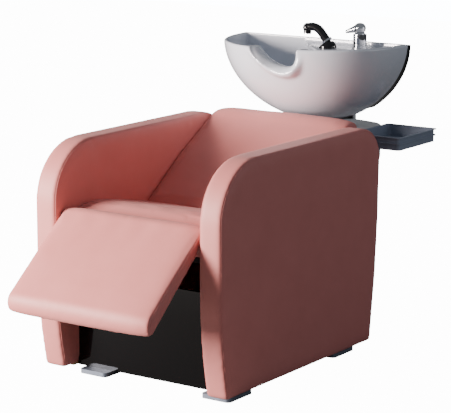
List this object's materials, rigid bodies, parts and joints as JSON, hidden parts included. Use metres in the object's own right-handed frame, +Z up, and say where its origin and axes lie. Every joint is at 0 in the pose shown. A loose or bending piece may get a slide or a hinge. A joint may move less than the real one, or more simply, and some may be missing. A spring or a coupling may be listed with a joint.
{
  "type": "hair washing bed",
  "caption": "Upholstered salon hair-washing bed: armchair with a hinged footrest and a tilting ceramic bowl with mixer, hand shower and tray.",
  "frame": {"origin": "on the floor, at the middle of the part's bounding box in plan", "axes": "+X to the right arm as seen by someone who stands in front of the footrest and looks at the chair, +Y from the footrest towards the bowl, +Z up"},
  "size_m": [0.699, 1.4654, 1.0121],
  "materials": {
    "leatherette_pink": "satin",
    "plywood": "matte",
    "black_board": "matte",
    "frame_paint": "satin",
    "gloss_black": "gloss",
    "foot_metal": "satin",
    "housing_plastic": "satin",
    "white_ceramic": "gloss",
    "black_plastic": "gloss",
    "chrome": "polished",
    "tray_plastic": "satin",
    "zinc_steel": "satin",
    "stainless": "satin",
    "brass": "satin",
    "black_rubber": "matte",
    "pipe_plastic": "matte"
  },
  "bodies": {
    "chair": {"arm_cover_left": "leatherette_pink", "arm_cover_right": "leatherette_pink", "seat_cushion": "leatherette_pink", "back_cushion": "leatherette_pink", "arm_core_left": "plywood", "arm_core_right": "plywood", "back_board": "plywood", "seat_board": "black_board", "cross_rails": "frame_paint", "floor_rails": "frame_paint", "posts": "frame_paint", "seat_rails": "frame_paint", "column_uprights": "frame_paint", "bowl_beams": "frame_paint", "tilt_yoke": "frame_paint", "tray_bracket": "frame_paint", "housing_stays": "frame_paint", "kick_panel": "gloss_black", "rear_panel": "gloss_black", "feet": "foot_metal", "housing_shell": "housing_plastic", "housing_bottom_cover": "housing_plastic", "neck": "housing_plastic", "screws": "zinc_steel", "arm_bolts": "zinc_steel", "pivot_flange_left": "zinc_steel", "pivot_flange_right": "zinc_steel", "tilt_pins": "zinc_steel", "brake_wrap_spring": "zinc_steel", "water_inlets": "brass", "tilt_friction_discs": "black_rubber", "waste_outlet": "pipe_plastic"},
    "footrest": {"footrest_cushion": "leatherette_pink", "footrest_board": "plywood", "footrest_pivot_tube": "zinc_steel", "footrest_saddles": "zinc_steel", "footrest_screws": "zinc_steel", "footrest_bush": "pipe_plastic", "footrest_brake_sleeve": "zinc_steel"},
    "bowl": {"bowl": "white_ceramic", "bowl_back_cover": "black_plastic", "tilt_bracket": "frame_paint", "drain_flange": "stainless", "drain_nut": "brass", "mixer_base_ring": "chrome", "mixer_body": "chrome", "handset_holder": "black_plastic", "handset_ring": "chrome", "deck_nuts": "brass"},
    "strainer": {"hair_strainer": "stainless"},
    "mixer_turn": {"mixer_cam_ring": "chrome", "mixer_lever_pin": "stainless"},
    "mixer_lever": {"mixer_lever": "chrome"},
    "hand_shower": {"handset_body": "black_plastic", "handset_spray_face": "chrome"},
    "tray": {"tray": "tray_plastic"}
  },
  "joints": [
    {"name": "footrest_swing", "type": "hinge", "parent": "chair", "child": "footrest", "pos_m": [-0.0095, -0.44425, 0.478], "axis": [1, 0, 0], "range_deg": [-30, 45]},
    {"name": "bowl_tilt", "type": "hinge", "parent": "chair", "child": "bowl", "pos_m": [-0.0095, 0.55675, 0.65], "axis": [1, 0, 0], "range_deg": [-5, 5]},
    {"name": "strainer_lift", "type": "slide", "parent": "bowl", "child": "strainer", "axis": [0, 0, 1], "range_m": [0, 0.04]},
    {"name": "mixer_temperature", "type": "hinge", "parent": "bowl", "child": "mixer_turn", "pos_m": [0.1675, 0.52975, 0.968], "axis": [0, 0, 1], "range_deg": [-45, 45]},
    {"name": "mixer_flow", "type": "hinge", "parent": "mixer_turn", "child": "mixer_lever", "pos_m": [0.1675, 0.52975, 0.972], "axis": [-0.342, 0.9397, 0], "range_deg": [0, 22]},
    {"name": "hand_shower_pull", "type": "slide", "parent": "bowl", "child": "hand_shower", "axis": [-0.6097, -0.0857, 0.788], "range_m": [0, 0.15]},
    {"name": "tray_lift", "type": "slide", "parent": "chair", "child": "tray", "axis": [0, 0, 1], "range_m": [0, 0.06]}
  ]
}
